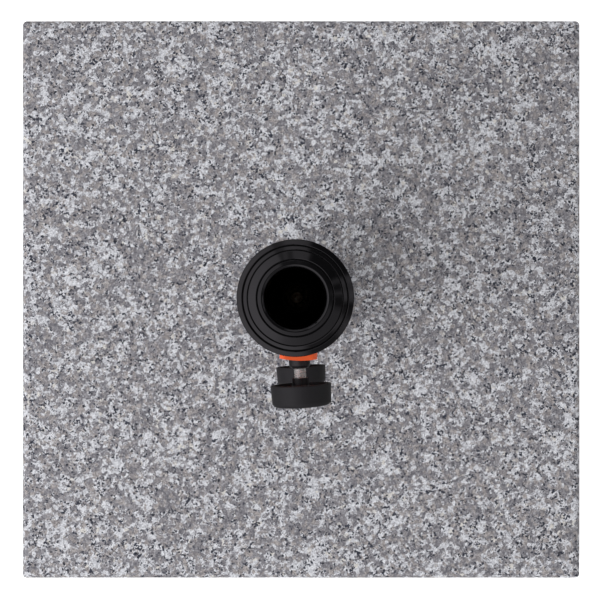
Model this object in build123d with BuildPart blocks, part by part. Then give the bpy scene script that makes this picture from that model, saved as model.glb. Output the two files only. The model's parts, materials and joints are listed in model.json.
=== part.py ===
from build123d import *
import os
from math import cos, radians, sin, tan

# A parasol base. A square granite slab carries an upright steel tube, bolted through
# the slab from below. A collar closes the tube's top, three nested reducers hang in it
# to suit poles of different thickness, and two knob screws clamp the pole.
#
# Millimetres. The origin is on the floor under the middle of the slab, +Z is up,
# and the knobs point to -Y, turned a little towards +X. The upright stands a little
# off the slab's middle, where the slab's hole was drilled.

# ---- Slab and what it stands on
SLAB_SIDE = 500.0
SLAB_THICKNESS = 60.0
SLAB_CORNER_RADIUS = 4.0  # upright edges
SLAB_TOP_EDGE_RADIUS = 6.0
SLAB_BOTTOM_CHAMFER = 2.0
UPRIGHT_X = -3.6  # from the slab's middle to the tube's axis
UPRIGHT_Y = 1.6
FOOT_DIAMETER = 40.0
FOOT_HEIGHT = 4.0
FOOT_EDGE_RADIUS = 1.0
FOOT_INSET = 45.0  # from the slab's sides to a foot's middle
FOOT_SIDES = {
    "front_left": (-1, -1),
    "front_right": (1, -1),
    "rear_left": (-1, 1),
    "rear_right": (1, 1),
}

# ---- M12 fastening through the slab
BOLT_RADIUS = 6.0
BOLT_PITCH = 1.75
BOLT_LENGTH = 75.0
BOLT_THREAD_LENGTH = 28.0
HEX_ACROSS_FLATS = 18.0
HEAD_HEIGHT = 7.5
NUT_HEIGHT = 10.0
HEX_CORNER_CHAMFER = 0.9
HEX_CORNER_MARGIN = 0.1  # turned outline beyond a hexagon's corners
SLAB_HOLE_RADIUS = 7.0
RECESS_RADIUS = 28.0
RECESS_DEPTH = 16.0
WASHER_HOLE_RADIUS = 6.5
WASHER_CHAMFER = 0.3
RECESS_WASHER_RADIUS = 25.0
RECESS_WASHER_THICKNESS = 3.0
TUBE_WASHER_RADIUS = 12.0
TUBE_WASHER_THICKNESS = 2.5
LOCK_WASHER_RADIUS = 10.5
LOCK_WASHER_THICKNESS = 2.5
LOCK_WASHER_SPLIT = 1.6

# ---- Upright tube and its foot
SOCKET_HEIGHT = 350.0  # top of the reducers above the slab
TUBE_RADIUS = 33.0
TUBE_WALL = 1.75
GASKET_RADIUS = 38.0
GASKET_THICKNESS = 2.0
FOOT_PLATE_RADIUS = 37.0
FOOT_PLATE_THICKNESS = 6.0
WELD_LEG = 3.0
PART_GAP = 0.05  # between surfaces that fit round each other

# ---- Collar and reducers: heights are measured down from the socket's top
COLLAR_RADIUS = 36.3
COLLAR_LENGTH = 25.0
COLLAR_OUTER_DROP = 4.0
COLLAR_INNER_DROP = 2.7
COLLAR_LEDGE_DROP = 4.6
COLLAR_LEDGE_THICKNESS = 1.4
COLLAR_LEDGE_RADIUS = 30.2
COLLAR_LIP_RADIUS = 32.8
COLLAR_EDGE_RADIUS = 0.8
SLEEVE_LENGTH = 45.0
FLANGE_EDGE_RADIUS = 0.45
RECESS_EDGE_RADIUS = 0.25
POLE_LIP_RADIUS = 1.9
SLEEVE_WALL = 2.0
LARGE_BORE = 28.0
MEDIUM_BORE = 22.2
SMALL_BORE = 19.0
LARGE_FLANGE = 32.1
MEDIUM_FLANGE = 29.2
SMALL_FLANGE = 23.35
MEDIUM_FLANGE_GAP = 0.5
SMALL_FLANGE_GAP = 0.75
LARGE_OUTER_DROP = 2.5
LARGE_INNER_DROP = 1.6
MEDIUM_SEAT_DROP = 3.1
MEDIUM_OUTER_DROP = 1.4
MEDIUM_INNER_DROP = 0.3
SMALL_SEAT_DROP = 1.9
SMALL_OUTER_DROP = 0.65
SMALL_INNER_DROP = 0.0
RIB_COUNT = 8
RIB_WIDTH = 2.0
RIB_END_MARGIN = 3.0
NOTCH_TURN = -50.0  # degrees from +X, seen from above
NOTCH_WIDTH = 1.6
NOTCH_DEPTH = 1.2

# ---- Seat that centres the pole's foot inside the tube
SEAT_FLOOR = 3.0
SEAT_STEP = 5.0
SEAT_HOLE_RADIUS = 13.6
SEAT_GAP = 0.2  # to the tube's wall

# ---- Clamps
CLAMP_TURN = 3.4  # degrees from -Y towards +X
UPPER_CLAMP_HEIGHT = 296.0  # above the slab
UPPER_KNOB_REACH = 56.7  # tube axis to the knob's rim
LOWER_CLAMP_HEIGHT = 105.0
LOWER_KNOB_REACH = 55.3
SADDLE_REACH = 40.35  # tube axis to the middle of the saddle's face
SADDLE_FACE_RADIUS = 66.0
SADDLE_TWIST = 4.8  # degrees clockwise, seen from above: it sits a little askew
SADDLE_WIDTH = 24.4
SADDLE_HEIGHT = 34.0
SADDLE_CORNER_RADIUS = 4.0
SADDLE_EDGE_RADIUS = 0.6
BOSS_RADIUS = 7.0
BOSS_START = 31.0
BOSS_END = 46.1
BOSS_EDGE_RADIUS = 2.8
BOSS_HOLE_RADIUS = 4.05
SCREW_RADIUS = 4.0
SCREW_PITCH = 1.25
THREAD_DEPTH_RATIO = 0.54  # groove depth as a share of the pitch
KNOB_RADIUS = 20.0
KNOB_THICKNESS = 13.8
KNOB_DRAFT = 2.8  # degrees
KNOB_DOME = 1.6
KNOB_FACE_EDGE_RADIUS = 3.2
KNOB_RIM_EDGE_RADIUS = 0.6
KNOB_WALL = 2.8
KNOB_HOLLOW_DEPTH = 8.0
HUB_RADIUS = 5.1
HUB_LENGTH = 4.3
HUB_ROOT_RADIUS = 8.0
HUB_ROOT_DROP = 3.0
HUB_FIN_WIDTH = 1.1
HUB_FIN_HEIGHT = 0.9
KNOB_RIB_COUNT = 6
KNOB_RIB_WIDTH = 2.0
KNOB_RIB_DROP = 1.5
KNOB_RIB_OVERLAP = 0.5  # into the hub and the wall
SCREW_HEAD_FLATS = 13.0
SCREW_HEAD_START = 4.0
SCREW_HEAD_HEIGHT = 5.3
TIP_RADIUS = 3.8
TIP_LENGTH = 5.0
TIP_FACE = -31.6  # along the screw from the knob's rim
TIP_HOLE_DEPTH = 3.5
JOURNAL_RADIUS = 2.0

# ---- Worked out from the above
SLAB_BOTTOM_Z = FOOT_HEIGHT
SLAB_TOP_Z = SLAB_BOTTOM_Z + SLAB_THICKNESS
RECESS_TOP_Z = SLAB_BOTTOM_Z + RECESS_DEPTH
HEAD_TOP_Z = RECESS_TOP_Z - RECESS_WASHER_THICKNESS
FOOT_PLATE_Z = SLAB_TOP_Z + GASKET_THICKNESS
TUBE_BOTTOM_Z = FOOT_PLATE_Z + FOOT_PLATE_THICKNESS
LOCK_WASHER_Z = TUBE_BOTTOM_Z + TUBE_WASHER_THICKNESS
NUT_Z = LOCK_WASHER_Z + LOCK_WASHER_THICKNESS
BOLT_END_Z = HEAD_TOP_Z + BOLT_LENGTH
SOCKET_TOP_Z = SLAB_TOP_Z + SOCKET_HEIGHT
LEDGE_Z = SOCKET_TOP_Z - COLLAR_LEDGE_DROP
TUBE_TOP_Z = LEDGE_Z - COLLAR_LEDGE_THICKNESS
SLEEVE_BOTTOM_Z = SOCKET_TOP_Z - SLEEVE_LENGTH
TUBE_BORE = TUBE_RADIUS - TUBE_WALL
UPRIGHT_AXIS = Axis((UPRIGHT_X, UPRIGHT_Y, 0), (0, 0, 1))
UPRIGHT_SECTION = Plane((UPRIGHT_X, UPRIGHT_Y, 0), x_dir=(1, 0, 0), z_dir=(0, -1, 0))
CLAMP_OUTWARD = Vector(sin(radians(CLAMP_TURN)), -cos(radians(CLAMP_TURN)), 0)
CLAMP_ACROSS = Vector(cos(radians(CLAMP_TURN)), sin(radians(CLAMP_TURN)), 0)
CLAMPS = {
    "upper": (SLAB_TOP_Z + UPPER_CLAMP_HEIGHT, UPPER_KNOB_REACH),
    "lower": (SLAB_TOP_Z + LOWER_CLAMP_HEIGHT, LOWER_KNOB_REACH),
}

os.makedirs("parts", exist_ok=True)


def round_corner(along, up, radius):
    """Rounds the corner nearest to a point of the profile that is being drawn."""
    fillet(vertices().sort_by_distance(Vector(along, up))[0], radius)


def thread_points(start, end, radius, pitch):
    """Zigzag profile of a thread's flanks, as rings, from start to end along the axis."""
    root = radius - THREAD_DEPTH_RATIO * pitch
    turns = int((end - start) / pitch)
    points = []
    for turn in range(turns):
        points.append((start + turn * pitch, root))
        points.append((start + (turn + 0.5) * pitch, radius))
    points.append((start + turns * pitch, root))
    return points


def level(height):
    """Level plane whose origin is on the tube's axis."""
    return Plane((UPRIGHT_X, UPRIGHT_Y, height))


def clamp_axis(height):
    """The line that a clamp's screw turns about."""
    return Axis((UPRIGHT_X, UPRIGHT_Y, height), CLAMP_OUTWARD)


def clamp_section(height):
    """Upright plane through a clamp's axis: local x runs outwards, local y up."""
    return Plane((UPRIGHT_X, UPRIGHT_Y, height), x_dir=CLAMP_OUTWARD, z_dir=-CLAMP_ACROSS)


def clamp_face(height, reach=0.0):
    """Plane square to a clamp's axis, facing outwards, reach away from the tube's axis."""
    origin = Vector(UPRIGHT_X, UPRIGHT_Y, height) + CLAMP_OUTWARD * reach
    return Plane(origin, x_dir=CLAMP_ACROSS, z_dir=CLAMP_OUTWARD)


def hex_chamfer_profile(bottom, height, chamfer_bottom, chamfer_top):
    """Turned outline that takes the corners off a hexagon, drawn in an upright plane."""
    wide = HEX_ACROSS_FLATS / 2 / cos(radians(30)) + HEX_CORNER_MARGIN
    narrow = wide - 2 * HEX_CORNER_CHAMFER
    top = bottom + height
    low = narrow if chamfer_bottom else wide
    high = narrow if chamfer_top else wide
    Polyline(
        (0, bottom),
        (low, bottom),
        (wide, bottom + HEX_CORNER_CHAMFER),
        (wide, top - HEX_CORNER_CHAMFER),
        (high, top),
        (0, top),
        close=True,
    )


def make_washer(name, bottom, thickness, radius):
    """A flat M12 washer with eased edges."""
    with BuildPart() as washer:
        with BuildSketch(level(bottom)):
            Circle(radius)
            Circle(WASHER_HOLE_RADIUS, mode=Mode.SUBTRACT)
        extrude(amount=thickness)
        chamfer(washer.edges().group_by(Axis.Z)[-1], WASHER_CHAMFER)
    washer.part.label = name
    export_step(washer.part, f"parts/{name}.step")


def make_reducer(bore, sleeve, flange, drops, recess_radius=None, rib_radius=None):
    """A flanged sleeve that narrows the socket. drops gives how far below the socket's
    top the flange's underside, its outer edge, its inner edge and its recess floor are."""
    under, outer, inner, floor = (SOCKET_TOP_Z - drop for drop in drops)
    mouth = recess_radius or bore
    with BuildPart() as reducer:
        with BuildSketch(UPRIGHT_SECTION):
            with BuildLine():
                Polyline(
                    (bore, floor),
                    (bore, SLEEVE_BOTTOM_Z),
                    (sleeve, SLEEVE_BOTTOM_Z),
                    (sleeve, under),
                    (flange, under),
                    (flange, outer),
                    (mouth, inner),
                    *([(mouth, floor)] if recess_radius else []),
                    close=True,
                )
            make_face()
            round_corner(flange, outer, FLANGE_EDGE_RADIUS)
            round_corner(mouth, inner, RECESS_EDGE_RADIUS if recess_radius else POLE_LIP_RADIUS)
        revolve(axis=UPRIGHT_AXIS)
        if rib_radius:
            with BuildSketch(level(SLEEVE_BOTTOM_Z + RIB_END_MARGIN)):
                with PolarLocations((sleeve + rib_radius) / 2 - PART_GAP, RIB_COUNT):
                    Rectangle(rib_radius - sleeve, RIB_WIDTH)
            extrude(amount=under - SLEEVE_BOTTOM_Z - 2 * RIB_END_MARGIN)
    return reducer.part


# ---- Slab: a square block whose long edges are rounded on top and eased below
with BuildPart() as granite_slab:
    with BuildSketch(Plane.XY.offset(SLAB_BOTTOM_Z)):
        RectangleRounded(SLAB_SIDE, SLAB_SIDE, SLAB_CORNER_RADIUS)
    extrude(amount=SLAB_THICKNESS)
    for side_plane in (Plane.XZ, Plane.YZ):
        with BuildSketch(side_plane):
            with Locations((0, SLAB_BOTTOM_Z + SLAB_THICKNESS / 2)):
                Rectangle(SLAB_SIDE, SLAB_THICKNESS)
            fillet(vertices().group_by(Axis.Y)[-1], SLAB_TOP_EDGE_RADIUS)
            chamfer(vertices().group_by(Axis.Y)[0], SLAB_BOTTOM_CHAMFER)
        extrude(amount=SLAB_SIDE, both=True, mode=Mode.INTERSECT)
    with Locations(Plane((UPRIGHT_X, UPRIGHT_Y, SLAB_BOTTOM_Z), z_dir=(0, 0, -1))):
        CounterBoreHole(SLAB_HOLE_RADIUS, RECESS_RADIUS, RECESS_DEPTH)
granite_slab.part.label = "granite_slab"
export_step(granite_slab.part, "parts/granite_slab.step")

# ---- Feet: four low rubber discs glued under the slab's corners
for corner, (side_x, side_y) in FOOT_SIDES.items():
    foot_reach = SLAB_SIDE / 2 - FOOT_INSET
    with BuildPart() as foot:
        with BuildSketch(Plane.XY):
            with Locations((side_x * foot_reach, side_y * foot_reach)):
                Circle(FOOT_DIAMETER / 2)
        extrude(amount=FOOT_HEIGHT)
        fillet(foot.edges().group_by(Axis.Z)[0], FOOT_EDGE_RADIUS)
    foot.part.label = f"foot_{corner}"
    export_step(foot.part, f"parts/foot_{corner}.step")

# ---- Fastening: bolt from below, with a wide washer in the slab's recess
with BuildPart() as base_bolt:
    with BuildSketch(level(HEAD_TOP_Z - HEAD_HEIGHT)):
        RegularPolygon(HEX_ACROSS_FLATS / 2, 6, major_radius=False)
    extrude(amount=HEAD_HEIGHT)
    with BuildSketch(UPRIGHT_SECTION):
        with BuildLine():
            hex_chamfer_profile(HEAD_TOP_Z - HEAD_HEIGHT, HEAD_HEIGHT, True, False)
        make_face()
    revolve(axis=UPRIGHT_AXIS, mode=Mode.INTERSECT)
    thread = thread_points(BOLT_END_Z - BOLT_THREAD_LENGTH, BOLT_END_Z, BOLT_RADIUS, BOLT_PITCH)
    with BuildSketch(UPRIGHT_SECTION):
        with BuildLine():
            Polyline(
                (0, HEAD_TOP_Z),
                (BOLT_RADIUS, HEAD_TOP_Z),
                (BOLT_RADIUS, BOLT_END_Z - BOLT_THREAD_LENGTH - BOLT_PITCH),
                *((across, up) for up, across in thread),
                (0, thread[-1][0]),
                close=True,
            )
        make_face()
    revolve(axis=UPRIGHT_AXIS)
base_bolt.part.label = "base_bolt"
export_step(base_bolt.part, "parts/base_bolt.step")

make_washer("recess_washer", HEAD_TOP_Z, RECESS_WASHER_THICKNESS, RECESS_WASHER_RADIUS)
make_washer("tube_washer", TUBE_BOTTOM_Z, TUBE_WASHER_THICKNESS, TUBE_WASHER_RADIUS)

with BuildPart() as lock_washer:
    with BuildSketch(level(LOCK_WASHER_Z)):
        Circle(LOCK_WASHER_RADIUS)
        Circle(WASHER_HOLE_RADIUS, mode=Mode.SUBTRACT)
        with Locations((LOCK_WASHER_RADIUS, 0)):
            Rectangle(LOCK_WASHER_RADIUS, LOCK_WASHER_SPLIT, mode=Mode.SUBTRACT)
    extrude(amount=LOCK_WASHER_THICKNESS)
lock_washer.part.label = "lock_washer"
export_step(lock_washer.part, "parts/lock_washer.step")

with BuildPart() as base_nut:
    with BuildSketch(level(NUT_Z)):
        RegularPolygon(HEX_ACROSS_FLATS / 2, 6, major_radius=False)
    extrude(amount=NUT_HEIGHT)
    with BuildSketch(UPRIGHT_SECTION):
        with BuildLine():
            hex_chamfer_profile(NUT_Z, NUT_HEIGHT, True, True)
        make_face()
    revolve(axis=UPRIGHT_AXIS, mode=Mode.INTERSECT)
    with Locations((UPRIGHT_X, UPRIGHT_Y, NUT_Z + NUT_HEIGHT)):
        Hole(BOLT_RADIUS + PART_GAP)
base_nut.part.label = "base_nut"
export_step(base_nut.part, "parts/base_nut.step")

# ---- Upright: gasket, foot plate with its weld bead, and the tube itself
with BuildPart() as base_gasket:
    with BuildSketch(level(SLAB_TOP_Z)):
        Circle(GASKET_RADIUS)
        Circle(SLAB_HOLE_RADIUS, mode=Mode.SUBTRACT)
    extrude(amount=GASKET_THICKNESS)
base_gasket.part.label = "base_gasket"
export_step(base_gasket.part, "parts/base_gasket.step")

with BuildPart() as foot_plate:
    with BuildSketch(level(FOOT_PLATE_Z)):
        Circle(FOOT_PLATE_RADIUS)
        Circle(WASHER_HOLE_RADIUS, mode=Mode.SUBTRACT)
    extrude(amount=FOOT_PLATE_THICKNESS)
    with BuildSketch(UPRIGHT_SECTION):
        with BuildLine():
            Polyline(
                (TUBE_RADIUS + PART_GAP, TUBE_BOTTOM_Z),
                (TUBE_RADIUS + WELD_LEG, TUBE_BOTTOM_Z),
                (TUBE_RADIUS + PART_GAP, TUBE_BOTTOM_Z + WELD_LEG),
                close=True,
            )
        make_face()
    revolve(axis=UPRIGHT_AXIS)
foot_plate.part.label = "foot_plate"
export_step(foot_plate.part, "parts/foot_plate.step")

with BuildPart() as stand_tube:
    with BuildSketch(level(TUBE_BOTTOM_Z)):
        Circle(TUBE_RADIUS)
        Circle(TUBE_BORE, mode=Mode.SUBTRACT)
    extrude(amount=TUBE_TOP_Z - TUBE_BOTTOM_Z)
    for clamp_height, _ in CLAMPS.values():
        with BuildSketch(clamp_face(clamp_height)):
            Circle(BOSS_RADIUS + PART_GAP)
        extrude(amount=2 * TUBE_RADIUS, mode=Mode.SUBTRACT)
stand_tube.part.label = "stand_tube"
export_step(stand_tube.part, "parts/stand_tube.step")

# ---- Pole seat: a stepped ring on the foot plate, one step for each pole size
with BuildPart() as pole_seat:
    seat_floor_z = TUBE_BOTTOM_Z + SEAT_FLOOR
    with BuildSketch(UPRIGHT_SECTION):
        with BuildLine():
            Polyline(
                (SEAT_HOLE_RADIUS, TUBE_BOTTOM_Z),
                (TUBE_BORE - SEAT_GAP, TUBE_BOTTOM_Z),
                (TUBE_BORE - SEAT_GAP, seat_floor_z + 3 * SEAT_STEP),
                (LARGE_BORE, seat_floor_z + 3 * SEAT_STEP),
                (LARGE_BORE, seat_floor_z + 2 * SEAT_STEP),
                (MEDIUM_BORE, seat_floor_z + 2 * SEAT_STEP),
                (MEDIUM_BORE, seat_floor_z + SEAT_STEP),
                (SMALL_BORE, seat_floor_z + SEAT_STEP),
                (SMALL_BORE, seat_floor_z),
                (SEAT_HOLE_RADIUS, seat_floor_z),
                close=True,
            )
        make_face()
    revolve(axis=UPRIGHT_AXIS)
pole_seat.part.label = "pole_seat"
export_step(pole_seat.part, "parts/pole_seat.step")

# ---- Collar: a cap ring over the tube's end, with a ledge that the large reducer rests on
with BuildPart() as top_collar:
    collar_outer_z = SOCKET_TOP_Z - COLLAR_OUTER_DROP
    collar_inner_z = SOCKET_TOP_Z - COLLAR_INNER_DROP
    with BuildSketch(UPRIGHT_SECTION):
        with BuildLine():
            Polyline(
                (TUBE_RADIUS + PART_GAP, collar_outer_z - COLLAR_LENGTH),
                (COLLAR_RADIUS, collar_outer_z - COLLAR_LENGTH),
                (COLLAR_RADIUS, collar_outer_z),
                (COLLAR_LIP_RADIUS, collar_inner_z),
                (COLLAR_LIP_RADIUS, LEDGE_Z),
                (COLLAR_LEDGE_RADIUS, LEDGE_Z),
                (COLLAR_LEDGE_RADIUS, TUBE_TOP_Z),
                (TUBE_RADIUS + PART_GAP, TUBE_TOP_Z),
                close=True,
            )
        make_face()
        round_corner(COLLAR_RADIUS, collar_outer_z, COLLAR_EDGE_RADIUS)
        round_corner(COLLAR_LIP_RADIUS, collar_inner_z, FLANGE_EDGE_RADIUS)
        round_corner(COLLAR_RADIUS, collar_outer_z - COLLAR_LENGTH, FLANGE_EDGE_RADIUS)
    revolve(axis=UPRIGHT_AXIS)
top_collar.part.label = "top_collar"
export_step(top_collar.part, "parts/top_collar.step")

# ---- Reducers: each one's flange rests in the recess of the next larger one
with BuildPart() as reducer_large:
    add(
        make_reducer(
            bore=LARGE_BORE,
            sleeve=LARGE_BORE + SLEEVE_WALL,
            flange=LARGE_FLANGE,
            drops=(COLLAR_LEDGE_DROP, LARGE_OUTER_DROP, LARGE_INNER_DROP, MEDIUM_SEAT_DROP),
            recess_radius=MEDIUM_FLANGE + MEDIUM_FLANGE_GAP,
        )
    )
reducer_large.part.label = "reducer_large"
export_step(reducer_large.part, "parts/reducer_large.step")

with BuildPart() as reducer_medium:
    add(
        make_reducer(
            bore=MEDIUM_BORE,
            sleeve=MEDIUM_BORE + SLEEVE_WALL,
            flange=MEDIUM_FLANGE,
            drops=(MEDIUM_SEAT_DROP, MEDIUM_OUTER_DROP, MEDIUM_INNER_DROP, SMALL_SEAT_DROP),
            recess_radius=SMALL_FLANGE + SMALL_FLANGE_GAP,
            rib_radius=LARGE_BORE - 2 * PART_GAP,
        )
    )
reducer_medium.part.label = "reducer_medium"
export_step(reducer_medium.part, "parts/reducer_medium.step")

with BuildPart() as reducer_small:
    add(
        make_reducer(
            bore=SMALL_BORE,
            sleeve=SMALL_BORE + SLEEVE_WALL,
            flange=SMALL_FLANGE,
            drops=(SMALL_SEAT_DROP, SMALL_OUTER_DROP, SMALL_INNER_DROP, SMALL_SEAT_DROP),
            rib_radius=MEDIUM_BORE - 2 * PART_GAP,
        )
    )
    with BuildSketch(level(SOCKET_TOP_Z - NOTCH_DEPTH)):
        with PolarLocations(SMALL_BORE, 1, start_angle=NOTCH_TURN):
            Rectangle(2 * NOTCH_DEPTH, NOTCH_WIDTH)
    extrude(amount=2 * NOTCH_DEPTH, mode=Mode.SUBTRACT)
reducer_small.part.label = "reducer_small"
export_step(reducer_small.part, "parts/reducer_small.step")


def make_clamp(side, height, reach):
    """One clamp: saddle, boss, screw, knob and swivelling tip, on one axis at height.
    reach is how far the knob's rim stands from the tube's axis."""
    axis = clamp_axis(height)
    section = clamp_section(height)

    # Saddle: a curved spacer between the tube and the knob, with a hole for the boss
    pivot = CLAMP_OUTWARD * TUBE_RADIUS
    askew = CLAMP_OUTWARD.rotate(Axis.Z, -SADDLE_TWIST)
    face_centre = pivot + askew * (SADDLE_REACH - TUBE_RADIUS - SADDLE_FACE_RADIUS)
    saddle_middle = Vector(UPRIGHT_X, UPRIGHT_Y, height) + pivot
    with BuildPart() as saddle:
        with BuildSketch(Plane(saddle_middle, x_dir=askew.rotate(Axis.Z, 90), z_dir=askew)):
            RectangleRounded(SADDLE_WIDTH, SADDLE_HEIGHT, SADDLE_CORNER_RADIUS)
        extrude(amount=SADDLE_REACH, both=True)
        with BuildSketch(level(height - SADDLE_HEIGHT)):
            with Locations(face_centre):
                Circle(SADDLE_FACE_RADIUS)
            Circle(TUBE_RADIUS + PART_GAP, mode=Mode.SUBTRACT)
        extrude(amount=2 * SADDLE_HEIGHT, mode=Mode.INTERSECT)
        outer_face = saddle.faces().filter_by(GeomType.CYLINDER).sort_by(SortBy.AREA)[-1]
        fillet(outer_face.edges(), SADDLE_EDGE_RADIUS)
        with BuildSketch(clamp_face(height)):
            Circle(BOSS_RADIUS + PART_GAP)
        extrude(amount=2 * SADDLE_REACH, mode=Mode.SUBTRACT)
    saddle.part.label = f"{side}_saddle"
    export_step(saddle.part, f"parts/{side}_saddle.step")

    # Boss: the threaded bush that is welded into the tube's wall
    with BuildPart() as boss:
        with BuildSketch(section):
            with BuildLine():
                Polyline(
                    (BOSS_START, BOSS_HOLE_RADIUS),
                    (BOSS_END, BOSS_HOLE_RADIUS),
                    (BOSS_END, BOSS_RADIUS),
                    (BOSS_START, BOSS_RADIUS),
                    close=True,
                )
            make_face()
            round_corner(BOSS_END, BOSS_RADIUS, BOSS_EDGE_RADIUS)
        revolve(axis=axis)
    boss.part.label = f"{side}_boss"
    export_step(boss.part, f"parts/{side}_boss.step")

    # Screw: journal for the tip, thread as rings, plain end and head inside the knob
    shoulder = reach + TIP_FACE + TIP_LENGTH + 2 * PART_GAP
    journal_end = shoulder - TIP_HOLE_DEPTH
    head_start = reach + SCREW_HEAD_START
    with BuildPart() as screw:
        with BuildSketch(section):
            with BuildLine():
                Polyline(
                    (journal_end, 0),
                    (journal_end, JOURNAL_RADIUS),
                    (shoulder, JOURNAL_RADIUS),
                    *thread_points(shoulder, reach - HUB_LENGTH, SCREW_RADIUS, SCREW_PITCH),
                    (reach - HUB_LENGTH, SCREW_RADIUS),
                    (head_start, SCREW_RADIUS),
                    (head_start, 0),
                    close=True,
                )
            make_face()
        revolve(axis=axis)
        with BuildSketch(clamp_face(height, head_start)):
            RegularPolygon(SCREW_HEAD_FLATS / 2, 6, major_radius=False)
        extrude(amount=SCREW_HEAD_HEIGHT)
    screw.part.label = f"{side}_screw"
    export_step(screw.part, f"parts/{side}_screw.step")

    # Knob: a drafted cup, open towards the tube, with a ribbed hub moulded round the head
    face = reach + KNOB_THICKNESS
    face_radius = KNOB_RADIUS - KNOB_THICKNESS * tan(radians(KNOB_DRAFT))
    dome_radius = (face_radius**2 + KNOB_DOME**2) / (2 * KNOB_DOME)
    hollow = reach + KNOB_HOLLOW_DEPTH
    knob_rib_length = KNOB_RADIUS - KNOB_WALL - HUB_ROOT_RADIUS + 2 * KNOB_RIB_OVERLAP
    with BuildPart() as knob:
        with BuildSketch(section):
            with BuildLine():
                Polyline(
                    (reach - HUB_LENGTH, SCREW_RADIUS + PART_GAP),
                    (reach - HUB_LENGTH, HUB_RADIUS),
                    (reach, HUB_RADIUS),
                    (reach + HUB_ROOT_DROP, HUB_ROOT_RADIUS),
                    (hollow, HUB_ROOT_RADIUS),
                    (hollow, KNOB_RADIUS - KNOB_WALL),
                    (reach, KNOB_RADIUS - KNOB_WALL),
                    (reach, KNOB_RADIUS),
                    (face, face_radius),
                )
                RadiusArc((face, face_radius), (face + KNOB_DOME, 0), dome_radius)
                Polyline(
                    (face + KNOB_DOME, 0),
                    (head_start, 0),
                    (head_start, SCREW_RADIUS + PART_GAP),
                    (reach - HUB_LENGTH, SCREW_RADIUS + PART_GAP),
                )
            make_face()
            round_corner(face, face_radius, KNOB_FACE_EDGE_RADIUS)
            round_corner(reach, KNOB_RADIUS, KNOB_RIM_EDGE_RADIUS)
        revolve(axis=axis)
        with BuildSketch(clamp_face(height, reach + KNOB_RIB_DROP)):
            knob_rib_middle = (HUB_ROOT_RADIUS + KNOB_RADIUS - KNOB_WALL) / 2
            with PolarLocations(knob_rib_middle, KNOB_RIB_COUNT, start_angle=90):
                Rectangle(knob_rib_length, KNOB_RIB_WIDTH)
        extrude(amount=KNOB_HOLLOW_DEPTH)
        with BuildSketch(clamp_face(height, reach - HUB_LENGTH)):
            with PolarLocations(HUB_RADIUS, KNOB_RIB_COUNT, start_angle=90):
                Rectangle(2 * HUB_FIN_HEIGHT, HUB_FIN_WIDTH)
            Circle(SCREW_RADIUS + PART_GAP, mode=Mode.SUBTRACT)
        extrude(amount=HUB_LENGTH + KNOB_RIB_DROP)
        with BuildSketch(clamp_face(height, head_start)):
            RegularPolygon(SCREW_HEAD_FLATS / 2 + PART_GAP, 6, major_radius=False)
        extrude(amount=SCREW_HEAD_HEIGHT + PART_GAP, mode=Mode.SUBTRACT)
    knob.part.label = f"{side}_knob"
    export_step(knob.part, f"parts/{side}_knob.step")

    # Tip: a small cap that swivels on the journal, so that it doesn't scuff the pole
    tip_face = reach + TIP_FACE
    with BuildPart() as tip:
        with BuildSketch(section):
            with BuildLine():
                Polyline(
                    (tip_face, 0),
                    (tip_face, TIP_RADIUS),
                    (tip_face + TIP_LENGTH, TIP_RADIUS),
                    (tip_face + TIP_LENGTH, JOURNAL_RADIUS + PART_GAP),
                    (journal_end - PART_GAP, JOURNAL_RADIUS + PART_GAP),
                    (journal_end - PART_GAP, 0),
                    close=True,
                )
            make_face()
            round_corner(tip_face, TIP_RADIUS, FLANGE_EDGE_RADIUS)
        revolve(axis=axis)
    tip.part.label = f"{side}_tip"
    export_step(tip.part, f"parts/{side}_tip.step")


for clamp_side, (clamp_height, knob_reach) in CLAMPS.items():
    make_clamp(clamp_side, clamp_height, knob_reach)
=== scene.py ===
import json
import math

import bpy
import numpy as np
from mathutils import Matrix, Vector, noise


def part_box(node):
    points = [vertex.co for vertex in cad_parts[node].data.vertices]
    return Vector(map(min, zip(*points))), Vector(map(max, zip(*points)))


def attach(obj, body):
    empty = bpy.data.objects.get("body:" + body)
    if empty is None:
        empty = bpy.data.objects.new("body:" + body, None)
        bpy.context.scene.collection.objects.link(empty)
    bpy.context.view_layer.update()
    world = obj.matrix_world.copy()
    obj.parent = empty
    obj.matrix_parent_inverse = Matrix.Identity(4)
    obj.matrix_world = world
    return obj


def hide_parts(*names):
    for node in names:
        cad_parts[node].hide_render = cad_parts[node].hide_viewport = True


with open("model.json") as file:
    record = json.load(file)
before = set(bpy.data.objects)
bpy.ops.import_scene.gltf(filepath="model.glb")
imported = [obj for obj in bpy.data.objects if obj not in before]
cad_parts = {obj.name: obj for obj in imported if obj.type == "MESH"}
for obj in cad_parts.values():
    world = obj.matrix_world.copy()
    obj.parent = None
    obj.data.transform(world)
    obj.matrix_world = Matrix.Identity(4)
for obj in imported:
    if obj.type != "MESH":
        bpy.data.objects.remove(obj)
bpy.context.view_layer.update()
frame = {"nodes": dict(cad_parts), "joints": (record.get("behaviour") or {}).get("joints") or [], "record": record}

MM = 0.001

# ---- Studio: the camera looks straight down on the slab
CAMERA_HEIGHT = 1114 * MM  # above the slab's top
CAMERA_OFFSET = (-0.06 * MM, 2.26 * MM)  # from the slab's middle
CAMERA_LENS = 74.8
CAMERA_SHIFT = (-0.00177, -0.00506)
FLOOR_SIDE = 40.0
FLOOR_GLOW = 0.66
FLOOR_REFLECTION = 0.12  # the floor's brightness in reflections
SKY_LEVEL = 0.51
SKY_REAR_LEVEL = 0.77  # low behind the object, towards +Y
SKY_ZENITH = (0.06, 0.06, 0.06, 1)
SKY_TINT = (1.0, 0.95, 1.03, 1)  # of the panels that reflections see
LAMP_PLACE = (-1.7, -1.0, 1.9)
LAMP_TARGET = (0, 0, 0.06)
LAMP_SIDE = 2.6
LAMP_POWER = 61.0

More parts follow.
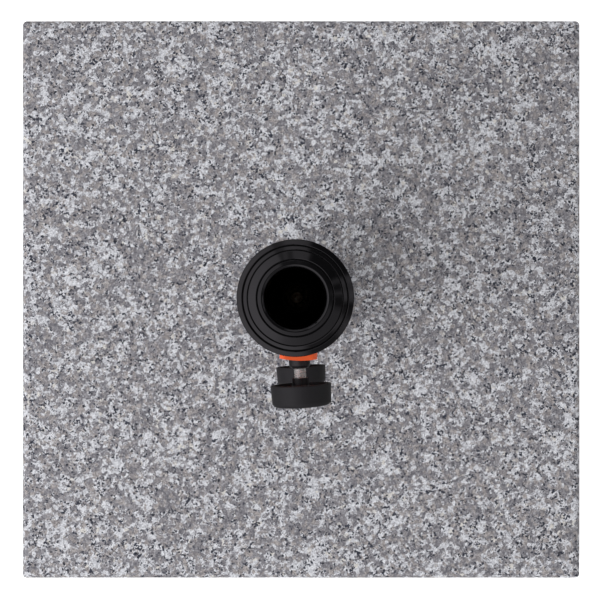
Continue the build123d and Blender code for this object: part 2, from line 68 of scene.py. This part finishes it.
# ---- Slab surface
SLAB_EDGE_RADIUS = 6 * MM
SLAB_CORNER_RADIUS = 4 * MM
SLAB_CHAMFER = 2 * MM
SLAB_RECESS_RADIUS = 28 * MM
SLAB_RECESS_DEPTH = 16 * MM
SLAB_HOLE_RADIUS = 7 * MM
SLAB_SIDE_POINTS = 280
SLAB_CORNER_POINTS = 8
SLAB_EDGE_STEPS = 12  # round the top edge, with a row of vertices at each
SLAB_SIDE_STEPS = 25
SLAB_CHAMFER_STEPS = 3
FLAT_RELIEF = 0.45  # how uneven the sides are, as a share of the arris
SIDE_END_RELIEF = 0.4  # added towards the top and bottom of the sides
SIDE_END_SHARE = 0.1  # of a side's height
CHIP_START = 0.42  # noise level at which the arris begins to chip
CHIP_DEPTH = 3.2 * MM  # for each unit of noise above that
CHIP_DEPTH_LIMIT = 0.8 * MM

# ---- Screws and bolt
TURNED_STEPS = 96  # vertices round a turned piece
THREAD_STEPS = 16  # rows of vertices in one pitch
THREAD_DEPTH_RATIO = 0.42  # groove depth as a share of the pitch
CLAMP_PITCH = 1.25 * MM
SCREW_RADIUS = 4.0 * MM
SCREW_HEAD_FLATS = 13.0 * MM
SCREW_HEAD_HEIGHT = 5.3 * MM
JOURNAL_RADIUS = 2.0 * MM
JOURNAL_LENGTH = 3.5 * MM
JOURNAL_CHAMFER = 0.3 * MM
THREAD_INTO_HUB = 0.6 * MM
UNDER_HEAD_ROW = 1.0 * MM  # an extra row of vertices, this far under the head
BOLT_PITCH = 1.75 * MM
BOLT_RADIUS = 6.0 * MM
BOLT_HEAD_FLATS = 18.0 * MM
BOLT_HEAD_HEIGHT = 7.5 * MM
BOLT_FACE_RADIUS = 8.6 * MM  # round end face of the head
BOLT_HEAD_CHAMFER = 1.0 * MM
BOLT_THREAD_LENGTH = 28 * MM
BOLT_THREAD_RADIUS = BOLT_RADIUS - 0.02 * MM
BOLT_END_RADIUS = BOLT_RADIUS - 1.2 * MM
BOLT_END_CHAMFER = 1.0 * MM
BOLT_PAINTED_LIGHT = 1.2  # painted light: brightness of the browned zinc, raised on the bolt
# painted shade: the nut and washers take the browned zinc darkened
NUT_PAINTED_SHADE = 0.35


# ================================================================ meshes


def new_object(name, vertices, faces, sharp_angle=math.radians(35)):
    """A mesh object at the origin, smooth except where faces meet at more than sharp_angle."""
    mesh = bpy.data.meshes.new(name)
    mesh.from_pydata([tuple(v) for v in vertices], [], faces)
    mesh.validate()
    mesh.shade_smooth()
    mesh.set_sharp_from_angle(angle=sharp_angle)
    piece = bpy.data.objects.new(name, mesh)
    bpy.context.scene.collection.objects.link(piece)
    return piece


def ring_faces(rows, around, closed):
    """Quads that join rows of vertices. Every row goes round; closed joins the last to the first."""
    faces = []
    for row in range(rows if closed else rows - 1):
        here = row * around
        there = (row + 1) % rows * around
        for k in range(around):
            after = (k + 1) % around
            faces.append((here + k, there + k, there + after, here + after))
    return faces


def turned(name, rows, place):
    """A solid of revolution, capped at both ends. Each row is (radius, distance along the
    axis), and the radius may be an array with one value per step round the axis."""
    around = TURNED_STEPS
    angles = np.linspace(0, 2 * math.pi, around, endpoint=False)
    vertices = []
    for radius, along in rows:
        ring = np.empty((around, 3))
        ring[:, 0] = radius * np.cos(angles)
        ring[:, 1] = radius * np.sin(angles)
        ring[:, 2] = along
        vertices.append(ring)
    faces = ring_faces(len(rows), around, closed=False)
    first_end = len(rows) * around
    last_end = first_end + 1
    last_row = first_end - around
    vertices.append([[0, 0, rows[0][1]], [0, 0, rows[-1][1]]])
    for k in range(around):
        after = (k + 1) % around
        faces.append((first_end, k, after))
        faces.append((last_end, last_row + after, last_row + k))
    vertices = np.concatenate(vertices)
    vertices = np.array([place @ Vector(v) for v in vertices])
    return new_object(name, vertices, faces)


def along_axis(direction, origin):
    """Matrix that takes local Z to direction and the local origin to origin."""
    turn = Vector(direction).to_track_quat("Z", "Y").to_matrix().to_4x4()
    return Matrix.Translation(Vector(origin)) @ turn


def joint(name):
    return next(j for j in frame["joints"] if j["name"] == name)


def reach(node, axis, origin):
    """How far a node spans along an axis through origin, as (least, most)."""
    direction = Vector(axis).normalized()
    start = Vector(origin)
    spans = [(v.co - start).dot(direction) for v in frame["nodes"][node].data.vertices]
    return min(spans), max(spans)


def finish_piece(piece, body, material, node):
    """Gives a new piece its material and body, and hides the CAD node it stands for."""
    piece.data.materials.append(material)
    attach(piece, body)
    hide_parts(node)


# ================================================================ materials


def linear(red, green, blue):
    """A colour given as 0-255 screen values, in the linear values that shaders use."""
    out = []
    for value in (red, green, blue):
        share = value / 255
        out.append(share / 12.92 if share <= 0.04045 else ((share + 0.055) / 1.055) ** 2.4)
    return (*out, 1.0)


class Shading:
    """A material's node tree, with short calls that add nodes and join them."""

    def __init__(self, tree):
        self.tree = tree
        tree.nodes.clear()

    def add(self, kind, inputs=(), output=0, **settings):
        node = self.tree.nodes.new(kind)
        for key, value in settings.items():
            setattr(node, key, value)
        for key, value in dict(inputs).items():
            if isinstance(value, bpy.types.NodeSocket):
                self.tree.links.new(value, node.inputs[key])
            else:
                node.inputs[key].default_value = value
        return node.outputs[output]

    def millimetres(self):
        """Place on the piece at rest, in millimetres."""
        place = self.add("ShaderNodeTexCoord", output="Object")
        return self.vector("SCALE", place, Scale=1 / MM)

    def vector(self, operation, a, b=None, c=None, **named):
        inputs = {k: v for k, v in enumerate((a, b, c)) if v is not None}
        inputs.update(named)
        return self.add("ShaderNodeVectorMath", inputs, operation=operation)

    def math(self, operation, a, b=None):
        inputs = {k: v for k, v in enumerate((a, b)) if v is not None}
        return self.add("ShaderNodeMath", inputs, operation=operation)

    def noise(self, place, scale, detail=2.0, roughness=0.5, output="Fac"):
        inputs = {"Vector": place, "Scale": scale, "Detail": detail, "Roughness": roughness}
        return self.add("ShaderNodeTexNoise", inputs, output=output)

    def cells(self, place, scale, output="Color"):
        return self.add("ShaderNodeTexVoronoi", {"Vector": place, "Scale": scale}, output=output)

    def channel(self, colour, output):
        return self.add("ShaderNodeSeparateColor", {"Color": colour}, output=output)

    def warp(self, place, scale, amount, detail=1.0):
        """Place pushed about by noise, which makes straight cell walls uneven."""
        push = self.noise(place, scale, detail, output="Color")
        return self.vector("MULTIPLY_ADD", push, (amount, amount, amount), place)

    def span(self, value, low, high, to_low=0.0, to_high=1.0, smooth=True):
        """value taken from low..high to to_low..to_high, held at the ends."""
        inputs = {"Value": value, "From Min": low, "From Max": high, "To Min": to_low, "To Max": to_high}
        kind = "SMOOTHSTEP" if smooth else "LINEAR"
        return self.add("ShaderNodeMapRange", inputs, interpolation_type=kind)

    def ramp(self, value, stops):
        """Colour between (place, colour) stops, whose places run from 0 to 1 in order."""
        node = self.tree.nodes.new("ShaderNodeValToRGB")
        elements = node.color_ramp.elements
        for place, colour in stops[2:]:
            elements.new(place)
        for element, (place, colour) in zip(elements, stops):
            element.position = place
            element.color = colour
        self.tree.links.new(value, node.inputs["Fac"])
        return node.outputs["Color"]

    def mix(self, share, a, b, blend="MIX"):
        node = self.tree.nodes.new("ShaderNodeMix")
        node.data_type = "RGBA"
        node.blend_type = blend
        for key, value in ((0, share), (6, a), (7, b)):
            if isinstance(value, bpy.types.NodeSocket):
                self.tree.links.new(value, node.inputs[key])
            else:
                node.inputs[key].default_value = value
        return node.outputs[2]

    def bump(self, height, distance, strength=1.0):
        inputs = {"Height": height, "Distance": distance, "Strength": strength}
        return self.add("ShaderNodeBump", inputs, output="Normal")

    def surface(self, **inputs):
        named = {key.replace("_", " "): value for key, value in inputs.items()}
        shader = self.add("ShaderNodeBsdfPrincipled", named)
        self.add_output(shader)

    def add_output(self, shader):
        node = self.tree.nodes.new("ShaderNodeOutputMaterial")
        self.tree.links.new(shader, node.inputs["Surface"])


def new_material(name):
    material = bpy.data.materials.new(name)
    material.use_nodes = True
    return material, Shading(material.node_tree)


def granite():
    """Ground grey granite: taupe ground mass, pale feldspar patches, dark mica in and by them."""
    material, m = new_material("granite")
    place = m.millimetres()
    loose = m.warp(place, 0.5, 2.4, detail=2.0)
    tight = m.warp(place, 1.4, 0.9)
    grain = m.cells(tight, 0.80)
    grain_tone = m.channel(grain, 0)
    grain_pick = m.channel(grain, 1)
    body = m.cells(loose, 0.31)
    body_tone = m.channel(body, 0)
    body_hue = m.channel(body, 1)
    cluster = m.noise(loose, 0.115, 3.0, 0.60)
    drift = m.noise(place, 0.026, 2.0)
    # Pale feldspar: where the slow noise, a grain body and single grains agree
    pale = m.math("ADD", cluster, m.math("MULTIPLY", body_tone, 0.36))
    pale = m.math("ADD", pale, m.math("MULTIPLY", grain_tone, 0.17))
    pale = m.math("ADD", pale, m.span(drift, 0.3, 0.7, -0.05, 0.05, smooth=False))
    pale_mask = m.span(pale, 0.76, 0.87)
    tone = m.math("ADD", m.math("MULTIPLY", grain_pick, 0.62), m.math("MULTIPLY", body_hue, 0.38))
    ground = m.ramp(
        tone,
        [
            (0.10, linear(94, 92, 95)),
            (0.35, linear(121, 118, 120)),
            (0.60, linear(140, 137, 138)),
            (0.90, linear(172, 169, 169)),
        ],
    )
    warm = m.span(body_hue, 0.35, 0.95, 0.0, 1.0)
    ground = m.mix(1.0, ground, m.mix(warm, (0.96, 0.985, 1.05, 1), (1.03, 0.995, 0.975, 1)), "MULTIPLY")
    feldspar = m.ramp(
        grain_pick,
        [
            (0.0, linear(156, 157, 164)),
            (0.3, linear(190, 191, 197)),
            (1.0, linear(220, 221, 226)),
        ],
    )
    cream = m.span(m.channel(body, 2), 0.945, 0.97, 0.0, 0.6)
    feldspar = m.mix(cream, feldspar, linear(210, 204, 194))
    stone = m.mix(pale_mask, ground, feldspar)
    # Dark mica: small crystals in clusters, mostly in the feldspar and beside it
    crystal = m.channel(m.cells(m.warp(place, 0.9, 1.2), 0.62), 2)
    near = m.span(pale, 0.62, 0.76, 0.25, 1.0)
    swarm = m.span(m.noise(place, 0.15, 3.0, 0.65), 0.42, 0.62)
    chance = m.math("MULTIPLY", near, swarm)
    level = m.span(chance, 0.0, 1.0, 0.985, 0.63, smooth=False)
    fleck = m.span(m.math("SUBTRACT", crystal, level), 0.0, 0.04)
    mica = m.mix(grain_tone, linear(8, 14, 24), linear(56, 60, 74))
    colour = m.mix(fleck, stone, mica)
    mottle = m.noise(place, 1.1, 4.0, 0.75)
    mottling = m.ramp(mottle, [(0.3, (0.68, 0.68, 0.68, 1)), (0.7, (1.30, 1.30, 1.30, 1))])
    colour = m.mix(1.0, colour, mottling, "MULTIPLY")
    roughness = m.math("SUBTRACT", m.span(mottle, 0.3, 0.7, 0.50, 0.62), m.math("MULTIPLY", fleck, 0.12))
    height = m.math("SUBTRACT", m.math("MULTIPLY", mottle, 0.8), m.math("MULTIPLY", fleck, 0.4))
    m.surface(Base_Color=colour, Roughness=roughness, Normal=m.bump(height, 0.06 * MM, 0.6))
    return material


def gloss_plastic():
    """Black moulded plastic with a polished surface, faint flow marks and a little dust."""
    material, m = new_material("black_gloss_plastic")
    place = m.millimetres()
    flow = m.noise(place, 0.09, 2.0)
    dust = m.span(m.cells(place, 0.9, output="Distance"), 0.05, 0.02)
    rare = m.span(m.channel(m.cells(place, 0.9), 0), 0.93, 0.95)
    speck = m.math("MULTIPLY", dust, rare)
    colour = m.mix(speck, linear(9, 9, 10), linear(70, 70, 72))
    roughness = m.math("ADD", m.span(flow, 0.3, 0.7, 0.03, 0.05), m.math("MULTIPLY", speck, 0.4))
    height = m.noise(place, 0.25, 3.0, 0.55)
    m.surface(Base_Color=colour, Roughness=roughness, Normal=m.bump(height, 0.03 * MM, 0.3), IOR=1.5)
    return material


def matte_plastic():
    """Black moulded plastic with a fine spark-eroded grain."""
    material, m = new_material("black_matte_plastic")
    place = m.millimetres()
    grain = m.noise(place, 3.2, 3.0, 0.6)
    wear = m.noise(place, 0.12, 3.0)
    colour = m.mix(wear, linear(26, 25, 27), linear(32, 31, 33))
    m.surface(
        Base_Color=colour,
        Roughness=m.span(wear, 0.3, 0.7, 0.50, 0.60),
        Normal=m.bump(grain, 0.05 * MM, 0.5),
        Specular_IOR_Level=0.32,
    )
    return material


def orange_plastic():
    """Orange moulded plastic with a satin grain."""
    material, m = new_material("orange_plastic")
    place = m.millimetres()
    grain = m.noise(place, 2.6, 3.0, 0.6)
    tone = m.noise(place, 0.15, 2.0)
    colour = m.mix(tone, linear(220, 83, 34), linear(234, 95, 42))
    m.surface(
        Base_Color=colour,
        Roughness=m.span(tone, 0.3, 0.7, 0.36, 0.46),
        Normal=m.bump(grain, 0.03 * MM, 0.4),
        Subsurface_Weight=0.04,
        Subsurface_Scale=1.0 * MM,
    )
    return material


def grey_plastic():
    """Hard grey plastic of the pressure tips."""
    material, m = new_material("grey_plastic")
    place = m.millimetres()
    tone = m.noise(place, 0.8, 2.0)
    colour = m.mix(tone, linear(120, 120, 121), linear(140, 139, 138))
    m.surface(Base_Color=colour, Roughness=0.5, Normal=m.bump(m.noise(place, 3.0), 0.02 * MM))
    return material


def powder_coat():
    """Black powder coat: low orange peel with a finer grain on it."""
    material, m = new_material("black_steel")
    place = m.millimetres()
    peel = m.noise(place, 0.9, 2.0, 0.5)
    grain = m.noise(place, 3.5, 2.0)
    height = m.math("ADD", peel, m.math("MULTIPLY", grain, 0.35))
    colour = m.mix(m.noise(place, 0.05, 3.0), linear(14, 14, 15), linear(24, 24, 26))
    m.surface(
        Base_Color=colour,
        Roughness=m.span(grain, 0.3, 0.7, 0.34, 0.46),
        Normal=m.bump(height, 0.05 * MM, 0.45),
        Specular_IOR_Level=0.60,
    )
    return material


def zinc_steel():
    """Zinc-plated steel with a faint warm film and a finely uneven surface."""
    material, m = new_material("zinc_steel")
    place = m.millimetres()
    film = m.noise(place, 0.35, 3.0, 0.6)
    scratch = m.noise(place, 4.0, 3.0, 0.7)
    colour = m.mix(m.span(film, 0.2, 0.8), linear(226, 225, 224), linear(214, 210, 206))
    m.surface(
        Base_Color=colour,
        Metallic=0.75,
        Roughness=m.span(scratch, 0.3, 0.7, 0.36, 0.48),
        Normal=m.bump(scratch, 0.02 * MM, 0.4),
    )
    return material


def aged_zinc(name, shade):
    """Plated steel that has browned at the bottom of the tube, where water stands. A shade below 1 darkens it as
    painted shade, and one above 1 brightens it as painted light."""
    material, m = new_material(name)
    place = m.millimetres()
    film = m.noise(place, 0.3, 4.0, 0.65)
    colour = m.ramp(
        film,
        [
            (0.30, linear(196, 184, 166)),
            (0.52, linear(178, 150, 118)),
            (0.72, linear(138, 100, 70)),
        ],
    )
    # painted light and shade: the colour scaled by shade
    colour = m.mix(1.0, colour, (shade, shade, shade, 1), "MULTIPLY")
    metal = m.span(film, 0.40, 0.62, 1.0, 0.25)
    m.surface(
        Base_Color=colour,
        Metallic=metal,
        Roughness=m.span(film, 0.35, 0.65, 0.35, 0.75),
        Normal=m.bump(m.noise(place, 2.5, 4.0, 0.7), 0.05 * MM, 0.6),
    )
    return material


def rubber():
    """Black rubber with a dusty bloom."""
    material, m = new_material("rubber")
    place = m.millimetres()
    bloom = m.noise(place, 0.2, 4.0, 0.6)
    colour = m.mix(m.span(bloom, 0.4, 0.7), linear(26, 26, 26), linear(46, 45, 44))
    m.surface(
        Base_Color=colour,
        Roughness=m.span(bloom, 0.3, 0.7, 0.68, 0.85),
        Normal=m.bump(m.noise(place, 2.2, 3.0), 0.08 * MM, 0.5),
    )
    return material


# ================================================================ slab


def square_loop(half):
    """Points and outward directions round a square with rounded corners, in order."""
    points = []
    outward = []
    for quarter in range(4):
        turn = quarter * math.pi / 2
        spin = np.array([[math.cos(turn), -math.sin(turn)], [math.sin(turn), math.cos(turn)]])
        straight = half - SLAB_CORNER_RADIUS
        for k in range(SLAB_SIDE_POINTS):
            across = -straight + 2 * straight * (k + 0.5) / SLAB_SIDE_POINTS
            points.append(spin @ (half, across))
            outward.append(spin @ (1, 0))
        for k in range(SLAB_CORNER_POINTS + 1):
            angle = math.pi / 2 * k / SLAB_CORNER_POINTS
            direction = np.array([math.cos(angle), math.sin(angle)])
            points.append(spin @ (np.array([straight, straight]) + SLAB_CORNER_RADIUS * direction))
            outward.append(spin @ direction)
    return np.array(points), np.array(outward)


def stone_relief(point, edge):
    """How far the stone's surface lies under its ideal shape. edge is 1 on an arris, less
    beside it and on the sides, and 0 elsewhere."""
    p = Vector(point)
    wave = 0.10 * MM * (1 + noise.noise(p * 22))
    ripple = 0.07 * MM * (1 + noise.noise(p * 75 + Vector((9.1, 2.7, 4.4))))
    grain = 0.05 * MM * (1 + noise.noise(p * 420 + Vector((1.3, 7.7, 5.1))))
    chip = noise.noise(p * 95 + Vector((3.9, 8.2, 6.6)))
    chip = max(0.0, chip - CHIP_START) * CHIP_DEPTH
    return (wave + ripple + grain) * edge + min(chip, CHIP_DEPTH_LIMIT) * edge * edge


def granite_block(material):
    """The slab as one skin: top, rounded edge, sides, underside, recess and bolt hole."""
    low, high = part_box("granite_slab")
    half = high.x
    top, bottom = high.z, low.z
    bolt_low, bolt_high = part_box("base_bolt")
    hole = np.array([(bolt_low.x + bolt_high.x) / 2, (bolt_low.y + bolt_high.y) / 2])
    flat, outward = square_loop(half - SLAB_EDGE_RADIUS)
    angle = np.arctan2(flat[:, 1], flat[:, 0])
    circle = np.stack([np.cos(angle), np.sin(angle)], axis=1)
    rows = []  # flat points, height, sideways and upward share of the normal, edge weight

    def add(points, height, sideways=0.0, upward=0.0, edge=0.0):
        rows.append((points, height, sideways, upward, edge))

    # Top, from the hole outwards
    for share in (0.0, 0.05, 0.15, 0.3, 0.5, 0.7, 0.85, 0.94, 0.98):
        ring = (hole + circle * SLAB_HOLE_RADIUS) * (1 - share) + flat * share
        add(ring, top, 0, 1, max(0.0, share - 0.9) * 4)
    # Rounded edge, sides and chamfer, downwards
    for step in range(SLAB_EDGE_STEPS + 1):
        tilt = math.pi / 2 * step / SLAB_EDGE_STEPS
        inset = SLAB_EDGE_RADIUS * (1 - math.sin(tilt))
        height = top - SLAB_EDGE_RADIUS * (1 - math.cos(tilt))
        relief = FLAT_RELIEF + (1 - FLAT_RELIEF) * math.sin(2 * tilt)
        add(square_loop(half - inset)[0], height, math.sin(tilt), math.cos(tilt), relief)
    side_top, side_bottom = top - SLAB_EDGE_RADIUS, bottom + SLAB_CHAMFER
    for step in range(1, SLAB_SIDE_STEPS + 1):
        share = step / SLAB_SIDE_STEPS
        near_end = max(0.0, 1 - min(share, 1 - share) / SIDE_END_SHARE)
        height = side_top + (side_bottom - side_top) * share
        add(square_loop(half)[0], height, 1, 0, FLAT_RELIEF + SIDE_END_RELIEF * near_end)
    for step in range(1, SLAB_CHAMFER_STEPS + 1):
        inset = SLAB_CHAMFER * (step / SLAB_CHAMFER_STEPS)
        add(square_loop(half - inset)[0], side_bottom - inset, 0.7, -0.7, 0.8)
    # Underside inwards, then up the recess's wall, along its floor and up the hole
    under = square_loop(half - SLAB_CHAMFER)[0]
    recess = hole + circle * SLAB_RECESS_RADIUS
    for share in (0.06, 0.3, 0.6, 0.9, 1.0):
        add(under * (1 - share) + recess * share, bottom, 0, -1)
    for share in (0.33, 0.66, 1.0):
        add(recess, bottom + SLAB_RECESS_DEPTH * share)
    for share in (0.5, 1.0):
        radius = SLAB_RECESS_RADIUS + (SLAB_HOLE_RADIUS - SLAB_RECESS_RADIUS) * share
        add(hole + circle * radius, bottom + SLAB_RECESS_DEPTH)
    for share in (0.25, 0.5, 0.75):
        height = bottom + SLAB_RECESS_DEPTH + (top - bottom - SLAB_RECESS_DEPTH) * share
        add(hole + circle * SLAB_HOLE_RADIUS, height)

    vertices = []
    for points, height, sideways, upward, edge in rows:
        for point, out in zip(points, outward):
            spot = np.array([point[0], point[1], height])
            if edge > 0:
                normal = np.array([out[0] * sideways, out[1] * sideways, upward])
                spot = spot - normal * stone_relief(spot, edge)
            vertices.append(spot)
    faces = ring_faces(len(rows), len(flat), closed=True)
    faces = [face[::-1] for face in faces]
    slab = new_object("slab_stone", vertices, faces, sharp_angle=math.radians(50))
    finish_piece(slab, "base", material, "granite_slab")


# ================================================================ turned parts


def hexagon(flats):
    """Radius of a hexagon, flats across, at each step round its axis."""
    angles = np.linspace(0, 360, TURNED_STEPS, endpoint=False)
    return flats / 2 / np.cos(np.radians((angles + 30) % 60 - 30))


def thread_rows(start, end, radius, pitch):
    """Rows of a right-hand thread along +Z, whose groove fades out over the first and last turn."""
    angles = np.linspace(0, 1, TURNED_STEPS, endpoint=False)
    count = int((end - start) / pitch * THREAD_STEPS)
    depth = THREAD_DEPTH_RATIO * pitch
    rows = []
    for k in range(count + 1):
        along = start + (end - start) * k / count
        phase = (along / pitch - angles) % 1.0
        groove = 0.5 - 0.5 * np.cos(2 * math.pi * phase)
        ease = min(1.0, (along - start) / pitch, (end - along) / pitch)
        rows.append((radius - depth * groove * ease, along))
    return rows


def clamp_screw(side, material):
    """Screw of one clamp: journal, thread, plain end and the hexagon that the knob is moulded on."""
    hinge = joint(f"{side}_knob_turn")
    place = along_axis(hinge["axis"], hinge["pos_m"])
    first, last = reach(f"{side}_screw", hinge["axis"], hinge["pos_m"])
    knob_first = reach(f"{side}_knob", hinge["axis"], hinge["pos_m"])[0]
    shoulder = first + JOURNAL_LENGTH
    head = last - SCREW_HEAD_HEIGHT
    thread_end = knob_first + THREAD_INTO_HUB
    rows = [
        (JOURNAL_RADIUS - JOURNAL_CHAMFER, first),
        (JOURNAL_RADIUS, first + JOURNAL_CHAMFER),
        (JOURNAL_RADIUS, shoulder),
        *thread_rows(shoulder, thread_end, SCREW_RADIUS, CLAMP_PITCH),
        (SCREW_RADIUS, head - UNDER_HEAD_ROW),
        (SCREW_RADIUS, head),
        (hexagon(SCREW_HEAD_FLATS), head),
        (hexagon(SCREW_HEAD_FLATS), last),
    ]
    screw = turned(f"{side}_screw_thread", rows, place)
    finish_piece(screw, f"{side}_screw_body", material, f"{side}_screw")


def base_bolt(material):
    """Bolt through the slab: hexagon head below, thread up through the nut."""
    low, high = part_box("base_bolt")
    corner = hexagon(BOLT_HEAD_FLATS)
    head_top = low.z + BOLT_HEAD_HEIGHT
    thread_start = high.z - BOLT_THREAD_LENGTH
    thread_end = high.z - BOLT_END_CHAMFER
    rows = [
        (BOLT_FACE_RADIUS, low.z),
        (corner, low.z + BOLT_HEAD_CHAMFER),
        (corner, head_top),
        (BOLT_RADIUS, head_top),
        *thread_rows(thread_start, thread_end, BOLT_THREAD_RADIUS, BOLT_PITCH),
        (BOLT_END_RADIUS, high.z),
    ]
    place = Matrix.Translation(((low.x + high.x) / 2, (low.y + high.y) / 2, 0))
    bolt = turned("base_bolt_thread", rows, place)
    finish_piece(bolt, "base", material, "base_bolt")


# ================================================================ scene


def floor():
    """A large pale floor that glows a little, so that the object's shadow stays faint. In
    reflections it is dark, so that the black parts stay black."""
    size = FLOOR_SIDE / 2
    corners = [(-size, -size, 0), (size, -size, 0), (size, size, 0), (-size, size, 0)]
    plane = new_object("studio_floor", corners, [(0, 1, 2, 3)])
    material, m = new_material("floor_paper")
    tone = m.noise(m.millimetres(), 0.002, 2.0)
    colour = m.mix(tone, (0.90, 0.90, 0.90, 1), (0.92, 0.92, 0.92, 1))
    paper = m.add("ShaderNodeBsdfDiffuse", {"Color": colour})
    glow = m.add("ShaderNodeEmission", {"Strength": FLOOR_GLOW})
    lit = m.add("ShaderNodeAddShader", {0: paper, 1: glow})
    dim = m.add("ShaderNodeEmission", {"Strength": FLOOR_REFLECTION})
    glossy = m.add("ShaderNodeLightPath", output="Is Glossy Ray")
    m.add_output(m.add("ShaderNodeMixShader", {0: glossy, 1: lit, 2: dim}))
    plane.data.materials.append(material)


def sky_ramp(m, turn, stops):
    """Brightness round the horizon from (degrees, brightness) stops; 0 is +X and 90 is +Y."""
    return m.ramp(turn, [(angle / 360, (value, value, value, 1)) for angle, value in stops])


def studio_sky():
    """Soft white surroundings. Reflections see four rings of panels with dark gaps, one above
    the other, and a dark zenith."""
    world = bpy.data.worlds.new("studio")
    bpy.context.scene.world = world
    world.use_nodes = True
    world.cycles.sampling_method = "NONE"
    m = Shading(world.node_tree)
    direction = m.add("ShaderNodeTexCoord", output="Generated")
    x = m.add("ShaderNodeSeparateXYZ", {0: direction}, output=0)
    y = m.add("ShaderNodeSeparateXYZ", {0: direction}, output=1)
    z = m.add("ShaderNodeSeparateXYZ", {0: direction}, output=2)
    turn = m.math("FRACT", m.math("ADD", m.math("DIVIDE", m.math("ARCTAN2", y, x), 2 * math.pi), 1.0))
    low = sky_ramp(
        m,
        turn,
        [
            (0, 0.24), (24, 0.12), (66, 0.12), (90, 0.36), (120, 0.50), (180, 0.66), (230, 0.66),
            (265, 0.50), (290, 0.24), (330, 0.26), (350, 0.14),
        ],
    )
    outer = sky_ramp(
        m,
        turn,
        [
            (0, 0.54), (5, 0.56), (10, 0.40), (13, 0.40), (18, 0.52), (22, 0.40), (25, 0.10), (28, 0.03),
            (66, 0.03), (72, 0.06), (78, 0.52), (84, 0.60), (92, 0.68), (100, 0.62), (105, 0.34),
            (112, 0.28), (116, 0.62), (140, 0.86), (180, 0.94), (225, 1.04), (258, 1.00), (276, 0.78),
            (287, 0.18), (314, 0.15), (323, 0.44), (332, 0.52), (343, 0.14), (352, 0.06), (355, 0.20),
            (358, 0.50),
        ],
    )
    inner = sky_ramp(
        m,
        turn,
        [
            (0, 0.06), (3, 0.12), (6, 0.36), (9, 0.18), (12, 0.05), (17, 0.06), (21, 0.26), (24, 0.26),
            (27, 0.08), (30, 0.02), (66, 0.03), (70, 0.10), (74, 0.46), (84, 0.52), (92, 0.50),
            (96, 0.26), (99, 0.26), (103, 0.46), (106, 0.42), (108, 0.26), (111, 0.36), (114, 0.72),
            (140, 0.92), (180, 1.08), (220, 1.06), (242, 0.96), (258, 0.62), (285, 0.42), (340, 0.36),
            (347, 0.20), (351, 0.06),
        ],
    )
    crown = sky_ramp(
        m,
        turn,
        [
            (0, 0.06), (8, 0.16), (14, 0.06), (25, 0.03), (60, 0.03), (78, 0.07), (86, 0.15),
            (92, 0.08), (111, 0.12), (117, 0.50), (122, 0.62), (180, 0.80), (225, 0.74), (270, 0.52),
            (315, 0.40), (340, 0.32), (350, 0.16), (356, 0.08),
        ],
    )
    # z is the sine of the height above the horizon
    seen = m.mix(m.span(z, 0.40, 0.62), low, outer)
    seen = m.mix(m.span(z, 0.86, 0.885), seen, inner)
    seen = m.mix(m.span(z, 0.925, 0.937), seen, crown)
    seen = m.mix(m.span(z, 0.975, 0.985), seen, SKY_ZENITH)
    seen = m.mix(1.0, seen, SKY_TINT, "MULTIPLY")
    glossy = m.add("ShaderNodeLightPath", output="Is Glossy Ray")
    soft = m.span(y, 0.0, 1.0, SKY_LEVEL, SKY_REAR_LEVEL, smooth=False)
    colour = m.mix(glossy, soft, seen)
    shade = m.add("ShaderNodeBackground", {"Color": colour, "Strength": 1.0})
    output = m.tree.nodes.new("ShaderNodeOutputWorld")
    m.tree.links.new(shade, output.inputs["Surface"])


def softbox(name, place, target, side, power):
    """A square lamp that aims at target. Reflections don't show it."""
    lamp = bpy.data.lights.new(name, "AREA")
    lamp.size = side
    lamp.energy = power
    holder = bpy.data.objects.new(name, lamp)
    bpy.context.scene.collection.objects.link(holder)
    holder.location = place
    holder.rotation_mode = "QUATERNION"
    holder.rotation_quaternion = (Vector(target) - Vector(place)).to_track_quat("-Z", "Y")
    holder.visible_glossy = False


def camera():
    lens = bpy.data.cameras.new("camera")
    lens.lens = CAMERA_LENS
    lens.shift_x, lens.shift_y = CAMERA_SHIFT
    holder = bpy.data.objects.new("camera", lens)
    bpy.context.scene.collection.objects.link(holder)
    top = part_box("granite_slab")[1].z
    holder.location = (*CAMERA_OFFSET, top + CAMERA_HEIGHT)
    bpy.context.scene.camera = holder


materials = {
    "granite": granite(),
    "black_gloss_plastic": gloss_plastic(),
    "black_matte_plastic": matte_plastic(),
    "orange_plastic": orange_plastic(),
    "grey_plastic": grey_plastic(),
    "black_steel": powder_coat(),
    "zinc_steel": zinc_steel(),
    "rubber": rubber(),
}
# lit and shaded copies of one zinc: painted light on the bolt, painted shade on the nut and washers
bolt_zinc_painted_light = aged_zinc("aged_zinc", BOLT_PAINTED_LIGHT)
nut_zinc_painted_shade = aged_zinc("painted_shade_zinc", NUT_PAINTED_SHADE)

granite_block(materials["granite"])
for clamp_side in ("upper", "lower"):
    clamp_screw(clamp_side, materials["zinc_steel"])
base_bolt(bolt_zinc_painted_light)

for part in frame["record"]["subparts"]:
    node = frame["nodes"][part["node"]]
    node.data.materials.clear()
    # the nut and washers get the darkened zinc as painted shade
    gets_painted_shade = part["node"] in ("base_nut", "tube_washer", "lock_washer")
    node.data.materials.append(nut_zinc_painted_shade if gets_painted_shade else materials[part["material_slot"]])

floor()
studio_sky()
softbox("key_softbox", LAMP_PLACE, LAMP_TARGET, LAMP_SIDE, LAMP_POWER)
camera()
bpy.context.scene.view_settings.view_transform = "Standard"
